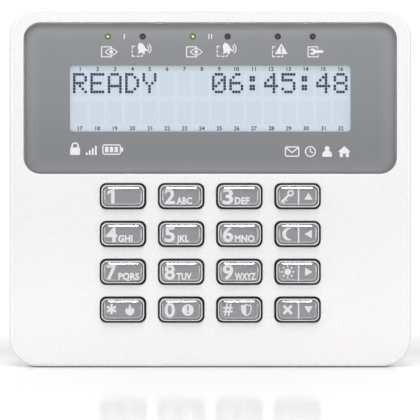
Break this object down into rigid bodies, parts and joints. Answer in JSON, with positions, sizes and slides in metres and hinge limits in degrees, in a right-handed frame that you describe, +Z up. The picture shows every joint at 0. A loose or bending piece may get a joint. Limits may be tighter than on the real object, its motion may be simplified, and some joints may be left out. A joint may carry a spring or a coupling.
{
  "type": "alarm keypad",
  "caption": "Wall-mounted security keypad with a two-line character display, status lamps, a grid of push keys and a hinged front that lifts off a screwed wall plate.",
  "frame": {"origin": "centre of the wall-screw pattern on the rear plane of the wall plate", "axes": "+X to the right seen from the front, +Y into the wall, +Z up; the front faces -Y"},
  "size_m": [0.139, 0.022, 0.124],
  "materials": {
    "cover_white": "gloss moulded",
    "base_white": "fine textured",
    "lens_clear": "clear polished",
    "mask_grey": "screen printed",
    "metal_frame": "satin black",
    "display_glass": "polished",
    "light_guide": "clear",
    "contact_rubber": "matte",
    "board_green": "solder mask",
    "steel": "zinc plated",
    "brass": "nickel flashed",
    "holder_black": "matte",
    "led_green": "tinted clear",
    "led_red": "tinted clear",
    "led_yellow": "tinted clear",
    "silicone_grey": "satin",
    "silicone_dark": "matte",
    "key_clear": "clear polished",
    "chip_light": "matte",
    "terminal_green": "moulded",
    "black_plastic": "moulded",
    "aluminium": "sleeved can"
  },
  "bodies": {
    "base": {"rear_base": "base_white"},
    "front": {"front_cover": "cover_white", "window_lens": "lens_clear", "window_mask": "mask_grey", "lcd_bezel": "metal_frame", "lcd_glass": "display_glass", "lcd_light_guide": "light_guide", "zebra_strips": "contact_rubber", "main_pcb": "board_green", "pcb_screws": "steel", "led_holder": "holder_black", "armed_leds": "led_green", "alarm_leds": "led_red", "trouble_led": "led_yellow", "service_led": "led_yellow", "keypad_mat": "silicone_dark", "keypad_backlight_leds": "chip_light", "terminal_block": "terminal_green", "terminal_screws": "steel", "terminal_clamps": "brass", "buzzer": "black_plastic", "tamper_guide": "black_plastic", "tamper_switch": "black_plastic", "tamper_spring": "steel", "microcontroller": "black_plastic", "filter_capacitor": "aluminium", "surface_mount_parts": "chip_light"},
    "tamper": {"tamper_plunger": "base_white"},
    "key_1": {"key_1_cap": "key_clear", "key_1_core": "silicone_grey"},
    "key_2": {"key_2_cap": "key_clear", "key_2_core": "silicone_grey"},
    "key_3": {"key_3_cap": "key_clear", "key_3_core": "silicone_grey"},
    "key_arm_up": {"key_arm_up_cap": "key_clear", "key_arm_up_core": "silicone_grey"},
    "key_4": {"key_4_cap": "key_clear", "key_4_core": "silicone_grey"},
    "key_5": {"key_5_cap": "key_clear", "key_5_core": "silicone_grey"},
    "key_6": {"key_6_cap": "key_clear", "key_6_core": "silicone_grey"},
    "key_night_left": {"key_night_left_cap": "key_clear", "key_night_left_core": "silicone_grey"},
    "key_7": {"key_7_cap": "key_clear", "key_7_core": "silicone_grey"},
    "key_8": {"key_8_cap": "key_clear", "key_8_core": "silicone_grey"},
    "key_9": {"key_9_cap": "key_clear", "key_9_core": "silicone_grey"},
    "key_day_right": {"key_day_right_cap": "key_clear", "key_day_right_core": "silicone_grey"},
    "key_star": {"key_star_cap": "key_clear", "key_star_core": "silicone_grey"},
    "key_0": {"key_0_cap": "key_clear", "key_0_core": "silicone_grey"},
    "key_hash": {"key_hash_cap": "key_clear", "key_hash_core": "silicone_grey"},
    "key_cancel_down": {"key_cancel_down_cap": "key_clear", "key_cancel_down_core": "silicone_grey"}
  },
  "joints": [
    {"name": "cover_swing", "type": "hinge", "parent": "base", "child": "front", "pos_m": [0, -0.0041, 0.0612], "axis": [-1, 0, 0], "range_deg": [0, 35]},
    {"name": "tamper_stroke", "type": "slide", "parent": "front", "child": "tamper", "axis": [0, 1, 0], "range_m": [0, 0.002], "stiffness_N_per_m": 60, "springref_m": 0.0025, "deforming": ["tamper_spring"]},
    {"name": "key_1_press", "type": "slide", "parent": "front", "child": "key_1", "axis": [0, 1, 0], "range_m": [0, 0.0012], "stiffness_N_per_m": 500, "springref_m": -0.0006},
    {"name": "key_2_press", "type": "slide", "parent": "front", "child": "key_2", "axis": [0, 1, 0], "range_m": [0, 0.0012], "stiffness_N_per_m": 500, "springref_m": -0.0006},
    {"name": "key_3_press", "type": "slide", "parent": "front", "child": "key_3", "axis": [0, 1, 0], "range_m": [0, 0.0012], "stiffness_N_per_m": 500, "springref_m": -0.0006},
    {"name": "key_arm_up_press", "type": "slide", "parent": "front", "child": "key_arm_up", "axis": [0, 1, 0], "range_m": [0, 0.0012], "stiffness_N_per_m": 500, "springref_m": -0.0006},
    {"name": "key_4_press", "type": "slide", "parent": "front", "child": "key_4", "axis": [0, 1, 0], "range_m": [0, 0.0012], "stiffness_N_per_m": 500, "springref_m": -0.0006},
    {"name": "key_5_press", "type": "slide", "parent": "front", "child": "key_5", "axis": [0, 1, 0], "range_m": [0, 0.0012], "stiffness_N_per_m": 500, "springref_m": -0.0006},
    {"name": "key_6_press", "type": "slide", "parent": "front", "child": "key_6", "axis": [0, 1, 0], "range_m": [0, 0.0012], "stiffness_N_per_m": 500, "springref_m": -0.0006},
    {"name": "key_night_left_press", "type": "slide", "parent": "front", "child": "key_night_left", "axis": [0, 1, 0], "range_m": [0, 0.0012], "stiffness_N_per_m": 500, "springref_m": -0.0006},
    {"name": "key_7_press", "type": "slide", "parent": "front", "child": "key_7", "axis": [0, 1, 0], "range_m": [0, 0.0012], "stiffness_N_per_m": 500, "springref_m": -0.0006},
    {"name": "key_8_press", "type": "slide", "parent": "front", "child": "key_8", "axis": [0, 1, 0], "range_m": [0, 0.0012], "stiffness_N_per_m": 500, "springref_m": -0.0006},
    {"name": "key_9_press", "type": "slide", "parent": "front", "child": "key_9", "axis": [0, 1, 0], "range_m": [0, 0.0012], "stiffness_N_per_m": 500, "springref_m": -0.0006},
    {"name": "key_day_right_press", "type": "slide", "parent": "front", "child": "key_day_right", "axis": [0, 1, 0], "range_m": [0, 0.0012], "stiffness_N_per_m": 500, "springref_m": -0.0006},
    {"name": "key_star_press", "type": "slide", "parent": "front", "child": "key_star", "axis": [0, 1, 0], "range_m": [0, 0.0012], "stiffness_N_per_m": 500, "springref_m": -0.0006},
    {"name": "key_0_press", "type": "slide", "parent": "front", "child": "key_0", "axis": [0, 1, 0], "range_m": [0, 0.0012], "stiffness_N_per_m": 500, "springref_m": -0.0006},
    {"name": "key_hash_press", "type": "slide", "parent": "front", "child": "key_hash", "axis": [0, 1, 0], "range_m": [0, 0.0012], "stiffness_N_per_m": 500, "springref_m": -0.0006},
    {"name": "key_cancel_down_press", "type": "slide", "parent": "front", "child": "key_cancel_down", "axis": [0, 1, 0], "range_m": [0, 0.0012], "stiffness_N_per_m": 500, "springref_m": -0.0006}
  ]
}
